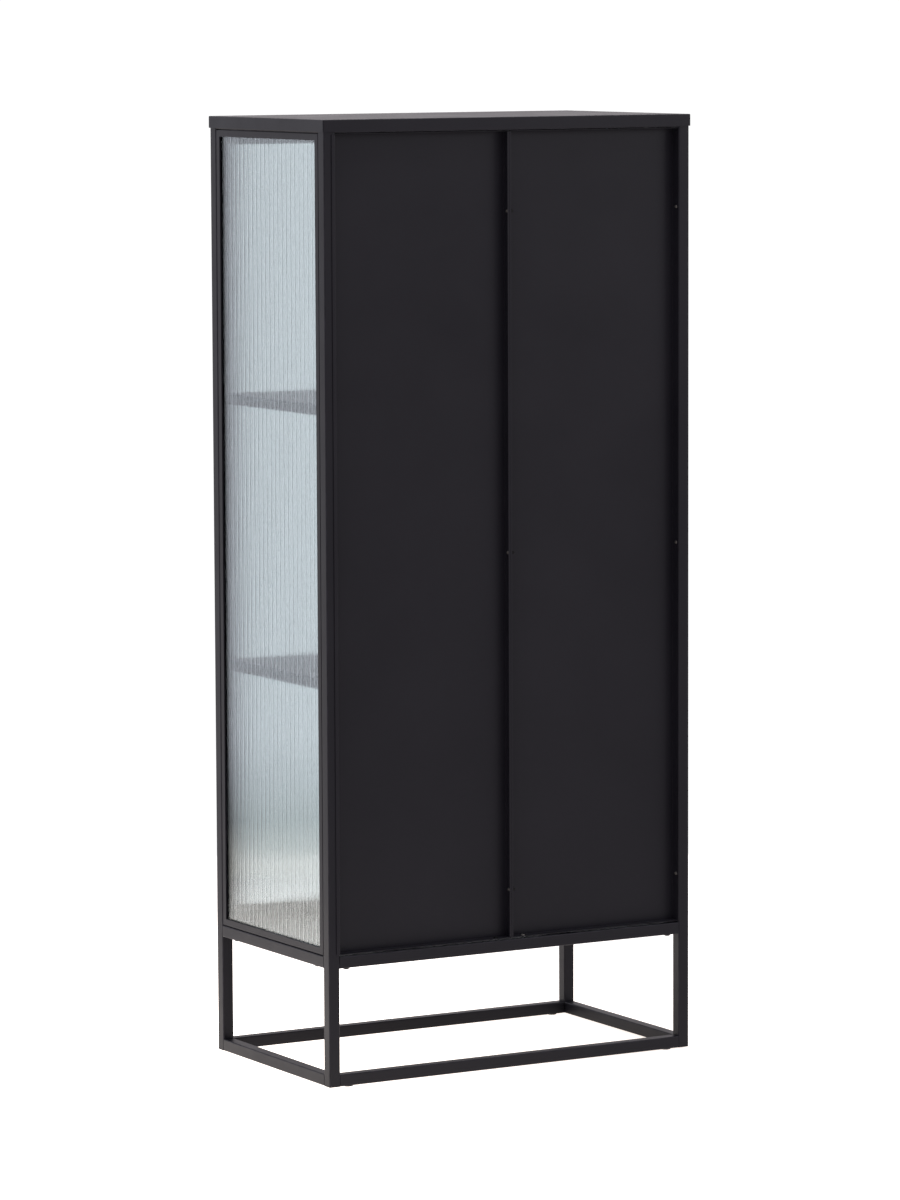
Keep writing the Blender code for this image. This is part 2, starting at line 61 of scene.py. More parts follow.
# ---------------------------------------------------------------- node helpers
class Nodes:
    """Short calls for one material's node tree."""

    def __init__(self, name):
        self.material = bpy.data.materials.new(name)
        self.material.use_nodes = True
        self.tree = self.material.node_tree
        self.shader = self.tree.nodes["Principled BSDF"]
        self.coords = self.tree.nodes.new("ShaderNodeTexCoord").outputs["Object"]

    def link(self, source, target):
        self.tree.links.new(source, target)

    def stretch(self, scale):
        mapping = self.tree.nodes.new("ShaderNodeMapping")
        mapping.inputs["Scale"].default_value = scale
        self.link(self.coords, mapping.inputs["Vector"])
        return mapping.outputs["Vector"]

    def noise(self, scale, detail=2.0, rough=0.5, distortion=0.0, vector=None):
        node = self.tree.nodes.new("ShaderNodeTexNoise")
        node.inputs["Scale"].default_value = scale
        node.inputs["Detail"].default_value = detail
        node.inputs["Roughness"].default_value = rough
        node.inputs["Distortion"].default_value = distortion
        self.link(vector or self.coords, node.inputs["Vector"])
        return node.outputs["Fac"]

    def spread(self, value, low, high, start=0.3, end=0.7):
        """Maps the value's start..end onto low..high."""
        node = self.tree.nodes.new("ShaderNodeMapRange")
        node.inputs["From Min"].default_value = start
        node.inputs["From Max"].default_value = end
        node.inputs["To Min"].default_value = low
        node.inputs["To Max"].default_value = high
        self.link(value, node.inputs["Value"])
        return node.outputs["Result"]

    def math(self, kind, first, second):
        node = self.tree.nodes.new("ShaderNodeMath")
        node.operation = kind
        for socket, value in zip(node.inputs, (first, second)):
            if isinstance(value, (int, float)):
                socket.default_value = value
            else:
                self.link(value, socket)
        return node.outputs["Value"]

    def mix(self, factor, first, second):
        """Colour mix. A colour is a tuple or another node's output."""
        node = self.tree.nodes.new("ShaderNodeMix")
        node.data_type = "RGBA"
        self.link(factor, node.inputs["Factor"])
        for socket, value in ((node.inputs[6], first), (node.inputs[7], second)):
            if isinstance(value, tuple):
                socket.default_value = (*value, 1.0)
            else:
                self.link(value, socket)
        return node.outputs[2]

    def bump(self, height, strength, distance, normal=None):
        node = self.tree.nodes.new("ShaderNodeBump")
        node.inputs["Strength"].default_value = strength
        node.inputs["Distance"].default_value = distance
        self.link(height, node.inputs["Height"])
        if normal is not None:
            self.link(normal, node.inputs["Normal"])
        return node.outputs["Normal"]

    def attribute(self, name):
        node = self.tree.nodes.new("ShaderNodeAttribute")
        node.attribute_name = name
        return node.outputs["Fac"]

    def set(self, **values):
        for name, value in values.items():
            socket = self.shader.inputs[name.replace("_", " ")]
            if isinstance(value, (int, float, tuple)):
                socket.default_value = value
            else:
                self.link(value, socket)


def scaled(color, factor):
    return tuple(factor * channel for channel in color)


# ---------------------------------------------------------------- materials
COAT_DARK = (0.0050, 0.0047, 0.0066)
COAT_LIGHT = (0.0062, 0.0058, 0.0080)


def powder_coat(name, roughness, specular, peel):
    """Baked powder coat: fine orange peel, broad sheen variation, faint handling marks and rubbed edges."""
    n = Nodes(name)
    cloud = n.noise(5.0, detail=3.0)
    smudge = n.noise(17.0, detail=4.0, rough=0.6, distortion=0.7)
    specks = n.noise(900.0, detail=1.0)
    patches = n.spread(n.noise(60.0, detail=3.0), 0.0, 1.0, start=0.35, end=0.65)
    worn = n.math("MULTIPLY", n.attribute("wear_and_highlight"), patches)
    base = n.mix(n.spread(cloud, 0.0, 1.0), COAT_DARK, COAT_LIGHT)
    dusty = n.mix(n.spread(specks, 0.0, 0.35, start=0.66, end=0.80), base, scaled(COAT_LIGHT, 3.2))
    n.set(Base_Color=n.mix(n.math("MULTIPLY", worn, 0.55), dusty, scaled(COAT_LIGHT, 2.6)))
    sheen = n.spread(cloud, roughness - 0.035, roughness + 0.035)
    marks = n.math("ADD", sheen, n.spread(smudge, -0.02, 0.03))
    n.set(Roughness=n.math("SUBTRACT", marks, n.math("MULTIPLY", worn, 0.08)))
    n.set(Specular_IOR_Level=specular)
    coarse = n.bump(n.noise(420.0), strength=0.16 * peel, distance=0.0002)
    fine = n.noise(1900.0, detail=1.0)
    n.set(Normal=n.bump(fine, strength=0.10 * peel, distance=0.00006, normal=coarse))
    return n.material


def painted_board(name, color, roughness):
    """Sprayed board: a satin film over a barely telegraphed grain."""
    n = Nodes(name)
    along_x = n.stretch((1.0, 14.0, 14.0))
    grain = n.noise(38.0, detail=5.0, rough=0.62, distortion=0.4, vector=along_x)
    cloud = n.noise(4.0, detail=3.0)
    n.set(Base_Color=n.mix(n.spread(cloud, 0.0, 1.0), color, scaled(color, 1.35)))
    sheen = n.spread(cloud, roughness - 0.04, roughness + 0.04)
    n.set(Roughness=n.math("ADD", sheen, n.spread(grain, -0.02, 0.03)))
    n.set(Specular_IOR_Level=0.4)
    fine = n.bump(n.noise(700.0), strength=0.12, distance=0.0001)
    n.set(Normal=n.bump(grain, strength=0.10, distance=0.0003, normal=fine))
    return n.material


def reeded_pane(name, tint):
    """Clear glass with a faint sea tint, rolled waviness and a breath of dust in the reeds."""
    n = Nodes(name)
    wave = n.noise(3.0, detail=1.0, vector=n.stretch((1.0, 1.0, 0.25)))
    dust = n.noise(45.0, detail=4.0, rough=0.65)
    n.set(Base_Color=n.mix(n.spread(dust, 0.0, 1.0), tint, scaled(tint, 0.985)))
    n.set(Roughness=n.spread(dust, 0.0, 0.006))
    n.set(IOR=1.53, Transmission_Weight=1.0, Specular_Tint=(0.90, 1.0, 0.97, 1.0))
    n.set(Normal=n.bump(wave, strength=0.02, distance=0.001))
    return n.material


def plated_steel(name, color, roughness, brushed, painted_highlight=None):
    """Thin plating over steel: streaks and tarnish spots, and on marked heads a brighter colour that is a
    painted highlight.
    """
    n = Nodes(name)
    streak = n.noise(260.0, detail=3.0, vector=n.stretch((1.0, 1.0, brushed)))
    spots = n.noise(140.0, detail=4.0, rough=0.6)
    plating = n.mix(n.spread(spots, 0.0, 1.0), color, scaled(color, 0.72))
    # Marked heads take the brighter colour, a painted highlight.
    n.set(Base_Color=n.mix(n.attribute("wear_and_highlight"), plating, painted_highlight or color))
    sheen = n.spread(streak, roughness - 0.06, roughness + 0.06)
    n.set(Roughness=n.math("ADD", sheen, n.spread(spots, 0.0, 0.05)))
    n.set(Metallic=1.0)
    n.set(Normal=n.bump(streak, strength=0.12, distance=0.00005))
    return n.material


def moulded_plastic(name, color, roughness):
    """Spark-eroded texture of a small moulding."""
    n = Nodes(name)
    grain = n.noise(1400.0, rough=0.6)
    cloud = n.noise(30.0, detail=3.0)
    n.set(Base_Color=n.mix(n.spread(cloud, 0.0, 1.0), color, scaled(color, 1.3)))
    n.set(Roughness=n.spread(cloud, roughness - 0.05, roughness + 0.05))
    n.set(Normal=n.bump(grain, strength=0.22, distance=0.00008))
    return n.material


MATERIALS = {
    "frame_coat": powder_coat("frame_coat", roughness=0.44, specular=0.12, peel=1.0),
    "sheet_coat": powder_coat("sheet_coat", roughness=0.42, specular=0.12, peel=0.7),
    "door_coat": powder_coat("door_coat", roughness=0.44, specular=0.12, peel=1.0),
    "board_coat": painted_board("board_coat", (0.013, 0.0128, 0.0135), roughness=0.42),
    "reeded_glass": reeded_pane("reeded_glass", tint=(0.63, 0.69, 0.70)),
    "hinge_steel": powder_coat("hinge_steel", roughness=0.36, specular=0.25, peel=0.5),
    "knob_steel": powder_coat("knob_steel", roughness=0.36, specular=0.25, peel=0.5),
    # Its second, brighter colour is a painted highlight for marked screw heads.
    "screw_steel": plated_steel(
        "screw_steel",
        (0.009, 0.009, 0.009),
        roughness=0.50,
        brushed=1.0,
        painted_highlight=(0.085, 0.08, 0.075),
    ),
    "catch_plastic": moulded_plastic("catch_plastic", (0.014, 0.014, 0.014), roughness=0.50),
    "strike_steel": plated_steel("strike_steel", (0.52, 0.52, 0.53), roughness=0.32, brushed=0.1),
    "glide_plastic": moulded_plastic("glide_plastic", (0.012, 0.012, 0.012), roughness=0.55),
}


# ---------------------------------------------------------------- mesh helpers
SHARP_DEGREES = 34
TURNED_SHARP_DEGREES = 40  # keeps the facets of turned pieces and the flanks of reeds smooth


def middle(low, high):
    return (low + high) / 2


def piece(bm, name, slot, body, nodes=(), sharp=SHARP_DEGREES, modifiers=()):
    """Makes the bmesh a shown object that rides on its body and stands for these CAD nodes."""
    bmesh.ops.recalc_face_normals(bm, faces=bm.faces)
    mesh = bpy.data.meshes.new(name)
    bm.to_mesh(mesh)
    bm.free()
    mesh.shade_smooth()
    mesh.set_sharp_from_angle(angle=math.radians(sharp))
    mesh.materials.append(MATERIALS[slot])
    obj = bpy.data.objects.new(name, mesh)
    bpy.context.scene.collection.objects.link(obj)
    for kind, settings in modifiers:
        modifier = obj.modifiers.new(kind.lower(), kind)
        for key, value in settings.items():
            setattr(modifier, key, value)
    weighted = obj.modifiers.new("weighted", "WEIGHTED_NORMAL")
    weighted.keep_sharp = True
    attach(obj, body)
    if nodes:
        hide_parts(*nodes)
    return obj


def rounded_outline(width, height, radius, steps):
    """(x, y, wear) round a rectangle about the origin. Wear is 1 in the middle of each rounded corner."""
    points = []
    for quarter, (sx, sy) in enumerate(((1, 1), (-1, 1), (-1, -1), (1, -1))):
        cx, cy = sx * (width / 2 - radius), sy * (height / 2 - radius)
        for step in range(steps):
            share = step / (steps - 1)
            angle = math.pi / 2 * (quarter + share)
            wear_and_highlight = math.sin(math.pi * share)
            points.append((cx + radius * math.cos(angle), cy + radius * math.sin(angle), wear_and_highlight))
    return points


def soften(points, radius, steps=4):
    """Rounds every corner of a closed outline. Returns (x, y, wear)."""
    rounded = []
    count = len(points)
    for i in range(count):
        here = Vector(points[i])
        before = Vector(points[i - 1]) - here
        after = Vector(points[(i + 1) % count]) - here
        reach = min(radius, 0.45 * before.length, 0.45 * after.length)
        start = here + before.normalized() * reach
        end = here + after.normalized() * reach
        for step in range(steps):
            t = step / (steps - 1)
            at = start * (1 - t) ** 2 + here * 2 * t * (1 - t) + end * t**2
            rounded.append((at.x, at.y, math.sin(math.pi * t)))
    return rounded


# The layer holds edge wear for the coats, and marks screw heads for their painted highlight.
def wear_and_highlight_layer(bm):
    return bm.verts.layers.float.get("wear_and_highlight") or bm.verts.layers.float.new("wear_and_highlight")


def add_ring(bm, outline, place):
    """A ring of vertices from rows of (x, y, wear), each at place(x, y)."""
    layer = wear_and_highlight_layer(bm)
    ring = []
    for x, y, wear_and_highlight in outline:
        vertex = bm.verts.new(place(x, y))
        vertex[layer] = wear_and_highlight
        ring.append(vertex)
    return ring


def skin(bm, rings, closed=False):
    """Quads between rings of vertices, with a cap at each end unless the rings close on themselves."""
    count = len(rings[0])
    pairs = list(zip(rings, rings[1:]))
    if closed:
        pairs.append((rings[-1], rings[0]))
    for lower, upper in pairs:
        for i in range(count):
            j = (i + 1) % count
            bm.faces.new((lower[i], lower[j], upper[j], upper[i]))
    if not closed:
        bm.faces.new(list(reversed(rings[0])))
        bm.faces.new(rings[-1])


AXIS_TURNS = {
    0: Matrix(((0, 0, 1), (1, 0, 0), (0, 1, 0))),
    1: Matrix(((0, 1, 0), (0, 0, 1), (1, 0, 0))),
    2: Matrix.Identity(3),
}


def add_bar(bm, low, high, radius, edge, axis, steps=5, end_steps=3):
    """A bar along this axis that fills this box, with rounded long edges and softly rounded ends."""
    turn = AXIS_TURNS[axis]
    width, height, length = (abs(c) for c in turn.transposed() @ (high - low))
    centre = middle(low, high)
    rings = []
    for sign in (-1, 1):
        order = range(end_steps + 1) if sign < 0 else range(end_steps, -1, -1)
        for k in order:
            angle = math.pi / 2 * k / end_steps
            inset = edge * (1 - math.sin(angle))
            z = sign * (length / 2 - edge * (1 - math.cos(angle)))
            corner = max(radius - inset, radius * 0.2)
            outline = rounded_outline(width - 2 * inset, height - 2 * inset, corner, steps)
            if k < end_steps:
                outline = [(x, y, 1.0) for x, y, wear_and_highlight in outline]
            rings.append(add_ring(bm, outline, lambda x, y: centre + turn @ Vector((x, y, z))))
    skin(bm, rings)


def add_frame_ring(bm, half, section, place):
    """A closed mitred frame: four corners at place(u, depth, v) for each row of (inward, depth, wear)."""
    rings = []
    for inward, depth, wear_and_highlight in section:
        across, up = half[0] - inward, half[1] - inward
        corners = ((-across, -up, wear_and_highlight), (across, -up, wear_and_highlight), (across, up, wear_and_highlight), (-across, up, wear_and_highlight))
        rings.append(add_ring(bm, corners, lambda u, v: place(u, depth, v)))
    skin(bm, rings, closed=True)


def add_lathe(bm, place, profile, steps=48, highlight_above=None):
    """A closed solid of revolution, axis to axis.

    Profile rows are (radius, height) or (radius, height, shape). shape(angle, radius) gives the reach.
    """
    layer = wear_and_highlight_layer(bm)
    rings = []
    for radius, height, *shape in profile:
        if radius == 0:
            ring = [bm.verts.new(place(0, 0, height))]
        else:
            ring = []
            for i in range(steps):
                angle = 2 * math.pi * i / steps
                reach = shape[0](angle, radius) if shape else radius
                ring.append(bm.verts.new(place(reach * math.cos(angle), reach * math.sin(angle), height)))
        # Marks a screw head for its painted highlight.
        if highlight_above is not None and height > highlight_above:
            for vertex in ring:
                vertex[layer] = 1.0
        rings.append(ring)
    for lower, upper in zip(rings, rings[1:]):
        for i in range(steps):
            j = (i + 1) % steps
            if len(lower) == 1:
                bm.faces.new((lower[0], upper[j], upper[i]))
            elif len(upper) == 1:
                bm.faces.new((lower[i], lower[j], upper[0]))
            else:
                bm.faces.new((lower[i], lower[j], upper[j], upper[i]))


def hexagon(angle, radius):
    """Reach of a hexagon whose corners are at this radius."""
    part = angle % (math.pi / 3) - math.pi / 6
    return radius * math.cos(math.pi / 6) / math.cos(part)


def cross(angle, radius):
    """Cross recess: two crossing bars, each a third as wide as it is long."""
    c, s = abs(math.cos(angle)) + 1e-6, abs(math.sin(angle)) + 1e-6
    half_width = radius * 0.34
    return max(min(radius / c, half_width / s), min(radius / s, half_width / c))


def placer(origin, outward):
    """Maps a lathe's local (x, y, height) to the frame, with height along this direction."""
    turn = Vector((0, 0, 1)).rotation_difference(Vector(outward)).to_matrix()
    return lambda x, y, z: Vector(origin) + turn @ Vector((x, y, z))


def arc(radius, height, corner, up, steps=4):
    """Quarter round of a lathe profile that ends a cylinder of this radius at this height."""
    rows = []
    for step in range(steps + 1):
        angle = math.pi / 2 * step / steps
        if not up:
            angle = math.pi / 2 - angle
        rise = corner * (1 - math.sin(angle))
        rows.append((radius - corner * (1 - math.cos(angle)), height - rise if up else height + rise))
    return rows


def screw_profile(head, head_height, shank, recess, length):
    """Round-headed screw with a cross recess: tip at -length, the head's underside at 0."""
    turns = max(4, int(length / (0.55 * shank)))
    rows = [(0, -length)]
    for k in range(turns):
        z = -length + length * (k + 0.25) / turns
        taper = min(1.0, 0.45 + 0.2 * k)
        rows.append((shank * 0.80 * taper, z))
        rows.append((shank * taper, z + length * 0.35 / turns))
    rows += [(shank, -0.0001), (head, 0.0)]
    for step in range(5):
        angle = math.pi / 2 * step / 5
        rows.append((head * (0.62 + 0.38 * math.cos(angle)), head_height * (0.25 + 0.75 * math.sin(angle))))
    rows.append((recess * 1.12, head_height, cross))
    rows.append((recess, head_height * 0.93, cross))
    rows.append((recess * 0.55, head_height * 0.35, cross))
    rows.append((0, head_height * 0.25))
    return rows


# Radius and height of each screw's head, and the radius of its shank and of its recess.
PAN_SCREW = {"head": 0.0028, "head_height": 0.0020, "shank": 0.00175, "recess": 0.0016}
POST_SCREW = {"head": 0.0029, "head_height": 0.0018, "shank": 0.0014, "recess": 0.0016}
FOOT_SCREW = {"head": 0.0040, "head_height": 0.0020, "shank": 0.0014, "recess": 0.0018}
STRIKE_SCREW = {"head": 0.0026, "head_height": 0.0011, "shank": 0.0012, "recess": 0.0014}
CATCH_SCREW = {"head": 0.0030, "head_height": 0.0017, "shank": 0.0014, "recess": 0.0016}


def build_screw(name, body, kind, length, seat, outward, painted_highlight=False, nodes=()):
    """A screw whose head rests at the seat and looks along outward. A marked head gets a brighter colour, a
    painted highlight.
    """
    highlight_above = 0.0 if painted_highlight else None
    bm = bmesh.new()
    add_lathe(bm, placer(seat, outward), screw_profile(length=length, **kind), highlight_above=highlight_above)
    piece(bm, name, "screw_steel", body, nodes)


# ---------------------------------------------------------------- pieces: frame
TUBE_RADIUS = 0.002
END_ROUND = 0.0005
HAIRLINE = 0.00025  # the CAD leaves 0.3 mm where tubes meet


def build_tubes():
    """Every post and rail as a rounded tube. Rails reach their posts."""
    for node in frame["nodes"]:
        is_tube = node.startswith("post_") or "_rail" in node
        if not is_tube or node.startswith("door_"):
            continue
        low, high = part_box(node)
        reach = Vector((0, 0, 0))
        axis = max(range(3), key=lambda i: (high - low)[i])
        if axis != 2:
            reach[axis] = HAIRLINE
        bm = bmesh.new()
        add_bar(bm, low - reach, high + reach, TUBE_RADIUS, END_ROUND, axis)
        piece(bm, f"{node}_tube", "frame_coat", CABINET, [node])


def sheet_modifiers(thickness, rim):
    """Gives a folded surface its thickness, then breaks the sheet's edges."""
    return (
        ("SOLIDIFY", {"thickness": thickness, "offset": -1.0, "use_even_offset": True}),
        ("BEVEL", {"width": rim, "segments": 2, "limit_method": "ANGLE", "angle_limit": math.radians(60)}),
    )


def fold(bm, edges, width, segments):
    """Rounds these edges of a sheet as bends of this width."""
    bmesh.ops.bevel(bm, geom=edges, offset=width, segments=segments, affect="EDGES", profile=0.5)


CAP_SHEET = 0.0015
CAP_BEND = 0.0018
CAP_RIM = 0.0003


def build_cap():
    """Folded lid: a flat top with soft bends and four skirts closed at the corners."""
    low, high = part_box("top_cap")
    bm = bmesh.new()
    corners = [(low.x, low.y), (high.x, low.y), (high.x, high.y), (low.x, high.y)]
    top = [bm.verts.new((x, y, high.z)) for x, y in corners]
    rim = [bm.verts.new((x, y, low.z)) for x, y in corners]
    bm.faces.new(top)
    for i in range(4):
        j = (i + 1) % 4
        bm.faces.new((rim[i], rim[j], top[j], top[i]))
    fold(bm, [edge for edge in bm.edges if not edge.is_boundary], CAP_BEND, segments=4)
    look = sheet_modifiers(CAP_SHEET, CAP_RIM)
    piece(bm, "cap_sheet", "sheet_coat", CABINET, ["top_cap"], modifiers=look)


PAN_SHEET = 0.001
PAN_RIM = 0.0002
PAN_BEND = 0.0012
CENTRE_BEND = 0.0004  # tighter fold where the two pans meet
CENTRE_REACH = 0.00025  # the CAD leaves 0.6 mm between the pans
PAN_REAR = 0.0180  # depth of the flanges, front face to rear edge
PAN_OVERLAP = 0.0063  # outer lip, from the flange to its end on the post
INNER_LIP = 0.0036
LIP_END = 0.0016
LEAST_FOLD = math.radians(30)
SAME_PLACE = 1e-5


def build_back_pans():
    """Two folded pans, flanges to the rear: a return lip at the centre and an outer lip over each post."""
    for side, sign in SIDES.items():
        low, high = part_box(f"back_panel_{side}")
        inner, tip = (high.x, low.x) if sign < 0 else (low.x, high.x)
        inner -= sign * CENTRE_REACH
        outer = tip - sign * PAN_OVERLAP
        rear = low.y + PAN_REAR
        crest_y = high.y - PAN_SHEET
        bm = bmesh.new()
        corner = {}
        for x_name, x in (("inner", inner), ("outer", outer)):
            for z_name, z in (("low", low.z), ("high", high.z)):
                for y_name, y in (("front", low.y), ("rear", rear)):
                    corner[x_name, y_name, z_name] = bm.verts.new((x, y, z))
        ends = {"low": low.z + LIP_END, "high": high.z - LIP_END}

        def upright(x, y):
            """The two ends of an upright line that is as long as the lips."""
            return {level: bm.verts.new((x, y, z)) for level, z in ends.items()}

        inner_fold = upright(inner, rear)
        riser = upright(outer, rear)
        crest = upright(outer, crest_y)
        inner_edge = upright(inner + sign * INNER_LIP, rear)
        outer_edge = upright(tip, crest_y)
        panel = (("inner", "low"), ("outer", "low"), ("outer", "high"), ("inner", "high"))
        bm.faces.new([corner[x, "front", z] for x, z in panel])
        ledge = (("inner", "front"), ("outer", "front"), ("outer", "rear"), ("inner", "rear"))
        for level in ends:
            bm.faces.new([corner[x, y, level] for x, y in ledge])
        for x, rear_edge in (("inner", inner_fold), ("outer", riser)):
            flange = [corner[x, "front", "low"], corner[x, "front", "high"], corner[x, "rear", "high"]]
            flange += [rear_edge["high"], rear_edge["low"], corner[x, "rear", "low"]]
            bm.faces.new(flange)
        for near, far in ((riser, crest), (inner_fold, inner_edge), (crest, outer_edge)):
            bm.faces.new((near["low"], near["high"], far["high"], far["low"]))
        bmesh.ops.recalc_face_normals(bm, faces=bm.faces)
        folds = [e for e in bm.edges if len(e.link_faces) == 2 and e.calc_face_angle(0) > LEAST_FOLD]
        corner_line = Vector((inner, rear))
        centre = [e for e in folds if all((v.co.xy - corner_line).length < SAME_PLACE for v in e.verts)]
        fold(bm, centre, CENTRE_BEND, segments=3)
        fold(bm, [e for e in folds if e.is_valid and e not in centre], PAN_BEND, segments=3)
        look = sheet_modifiers(PAN_SHEET, PAN_RIM)
        pan = piece(bm, f"back_pan_{side}", "sheet_coat", CABINET, [f"back_panel_{side}"], modifiers=look)
        turn_front(pan)


def turn_front(obj):
    """The folded sheet thickens towards its hollow, so its big face has to look to the front."""
    big = max(obj.data.polygons, key=lambda p: p.area)
    if big.normal.y > 0:
        obj.data.flip_normals()


# ---------------------------------------------------------------- pieces: glazing
GLAZING_SECTION = [
    (0.0006, 0),
    (0.0115, 0),
    (0.0115, 0.003),
    (0.0025, 0.003),
    (0.0025, 0.013),
    (-0.0009, 0.013),
    (-0.0009, 0.0038),
    (0.0006, 0.0038),
]
GLAZING_EASE = 0.0004
REED_PITCH = 0.00495
REED_RISE = 0.0003
REED_STEPS = 6
REED_GROOVE = 0.0005  # extra depth of every third groove, which the rolling leaves sharper
GROOVE_EVERY = 3


def add_reeded_pane(bm, low, high, across, depth_axis, sign):
    """A pane that fills this box. Upright reeds follow each other along the across axis.

    They are on the face that looks along the depth axis, in the direction of sign.
    """
    width = high[across] - low[across]
    count = round(width / REED_PITCH)
    pitch = width / count
    face = high[depth_axis] if sign > 0 else low[depth_axis]
    back = low[depth_axis] if sign > 0 else high[depth_axis]
    half = pitch / 2
    radius = (half**2 + REED_RISE**2) / (2 * REED_RISE)
    outline = []
    for reed in range(count):
        for step in range(REED_STEPS):
            at = -half + pitch * step / REED_STEPS
            drop = radius - math.sqrt(radius**2 - at**2)
            if step == 0 and reed and reed % GROOVE_EVERY == 0:
                drop += REED_GROOVE
            outline.append((low[across] + pitch * reed + half + at, face - sign * drop))
    outline.append((high[across], face - sign * REED_RISE))
    outline += [(high[across], back), (low[across], back)]
    rings = []
    for z in (low.z, high.z):
        ring = []
        for along, depth in outline:
            point = Vector((0, 0, z))
            point[across] = along
            point[depth_axis] = depth
            ring.append(bm.verts.new(point))
        rings.append(ring)
    skin(bm, rings)


def build_side_glazing():
    """Mitred beads of L section, each with its reeded pane."""
    for side, sign in SIDES.items():
        low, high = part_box(f"glazing_frame_{side}")
        face = high.x if sign > 0 else low.x
        centre = middle(low, high)
        half = ((high.y - low.y) / 2, (high.z - low.z) / 2)
        bm = bmesh.new()
        add_frame_ring(
            bm,
            half,
            soften(GLAZING_SECTION, GLAZING_EASE),
            lambda u, depth, v: Vector((face - sign * depth, centre.y + u, centre.z + v)),
        )
        piece(bm, f"glazing_bead_{side}", "frame_coat", CABINET, [f"glazing_frame_{side}"])
        low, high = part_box(f"side_glass_{side}")
        bm = bmesh.new()
        add_reeded_pane(bm, low, high, across=1, depth_axis=0, sign=sign)
        name = f"side_pane_{side}"
        piece(bm, name, "reeded_glass", CABINET, [f"side_glass_{side}"], sharp=TURNED_SHARP_DEGREES)


# ---------------------------------------------------------------- pieces: boards
BOARDS = {
    "floor_panel": "floor_board",
    "shelf_lower": "shelf_board_lower",
    "shelf_upper": "shelf_board_upper",
}
BOARD_EDGE = 0.0012
CLEAT_SHEET = 0.0015
CLEAT_EASE = 0.0007


def build_boards():
    """Floor and shelves with eased edges."""
    for node, name in BOARDS.items():
        low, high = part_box(node)
        bm = bmesh.new()
        add_bar(bm, low, high, BOARD_EDGE, BOARD_EDGE, axis=1, steps=4)
        piece(bm, name, "board_coat", CABINET, [node])


def build_cleats():
    """The folded angles that carry the shelves: one leg up the side, the other under the shelf."""
    for level in ("lower", "upper"):
        for side, sign in SIDES.items():
            node = f"shelf_cleat_{level}_{side}"
            low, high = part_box(node)
            outer, inner = (high.x, low.x) if sign > 0 else (low.x, high.x)
            inside = outer - sign * CLEAT_SHEET
            section = [
                (outer, low.z),
                (outer, high.z),
                (inside, high.z),
                (inside, low.z + CLEAT_SHEET),
                (inner, low.z + CLEAT_SHEET),
                (inner, low.z),
            ]
            outline = soften(section, CLEAT_EASE, steps=3)
            bm = bmesh.new()
            skin(bm, [add_ring(bm, outline, lambda x, z: (x, y, z)) for y in (low.y, high.y)])
            piece(bm, f"cleat_{level}_{side}", "frame_coat", CABINET, [node])


# ---------------------------------------------------------------- pieces: doors
DOOR_MEMBERS = ("hinge_stile", "meeting_stile", "top_rail", "bottom_rail")
DOOR_SECTION = [
    (0, 0),
    (0.025, 0),
    (0.025, 0.004),
    (0.017, 0.004),
    (0.017, 0.015),
    (0, 0.015),
]
DOOR_EASE = 0.0009


def build_doors():
    """Mitred door frames of L section, each with its pane, knob and strike."""
    for side in SIDES:
        body = f"door_{side}"
        members = [f"{body}_{member}" for member in DOOR_MEMBERS]
        boxes = [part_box(member) for member in members]
        low = Vector([min(box[0][i] for box in boxes) for i in range(3)])
        high = Vector([max(box[1][i] for box in boxes) for i in range(3)])
        front = low.y
        centre = middle(low, high)
        half = ((high.x - low.x) / 2, (high.z - low.z) / 2)
        bm = bmesh.new()
        add_frame_ring(
            bm,
            half,
            soften(DOOR_SECTION, DOOR_EASE),
            lambda u, depth, v: Vector((centre.x + u, front + depth, centre.z + v)),
        )
        piece(bm, f"door_frame_{side}", "door_coat", body, members)
        low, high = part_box(f"{body}_glass")
        bm = bmesh.new()
        add_reeded_pane(bm, low, high, across=0, depth_axis=1, sign=-1)
        name = f"door_pane_{side}"
        piece(bm, name, "reeded_glass", body, [f"{body}_glass"], sharp=TURNED_SHARP_DEGREES)
        build_knob(side, body)
        build_strike(side, body)


KNOB_DISC = 0.012  # length of the part that is gripped
KNOB_FOOT = 0.0046
KNOB_NECK = 0.0036
KNOB_REAR_ROUND = 0.0008
KNOB_FRONT_ROUND = 0.0010
KNOB_DISH = 0.0006  # depth of the shallow dish in the knob's face


def build_knob(side, body):
    """Turned knob: a small foot on the door, a waist, and a disc with a faintly dished face."""
    low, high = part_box(f"door_{side}_knob")
    radius = (high.x - low.x) / 2
    length = high.y - low.y
    neck = length - KNOB_DISC
    rows = [(0, 0), (KNOB_FOOT, 0), (KNOB_FOOT, 0.0006), (KNOB_NECK, 0.0014)]
    rows += [(KNOB_NECK, neck - 0.001), (KNOB_NECK + 0.0006, neck), (radius - 0.0016, neck)]
    rows += arc(radius, neck, KNOB_REAR_ROUND, up=False)[1:]
    rows += [(radius, length - 0.0012)]
    rows += arc(radius, length, KNOB_FRONT_ROUND, up=True, steps=5)[1:]
    rows += [(radius * 0.72, length), (radius * 0.68, length - 0.00035), (0, length - KNOB_DISH)]
    origin = (middle(low, high).x, high.y, middle(low, high).z)
    bm = bmesh.new()
    add_lathe(bm, placer(origin, (0, -1, 0)), rows, steps=56)
    piece(bm, f"knob_{side}", "knob_steel", body, [f"door_{side}_knob"], sharp=TURNED_SHARP_DEGREES)


STRIKE_SCREW_LENGTH = 0.0012
STRIKE_SCREW_DROP = 0.004  # below the strike's middle
STRIKE_SCREW_SINK = 0.00005


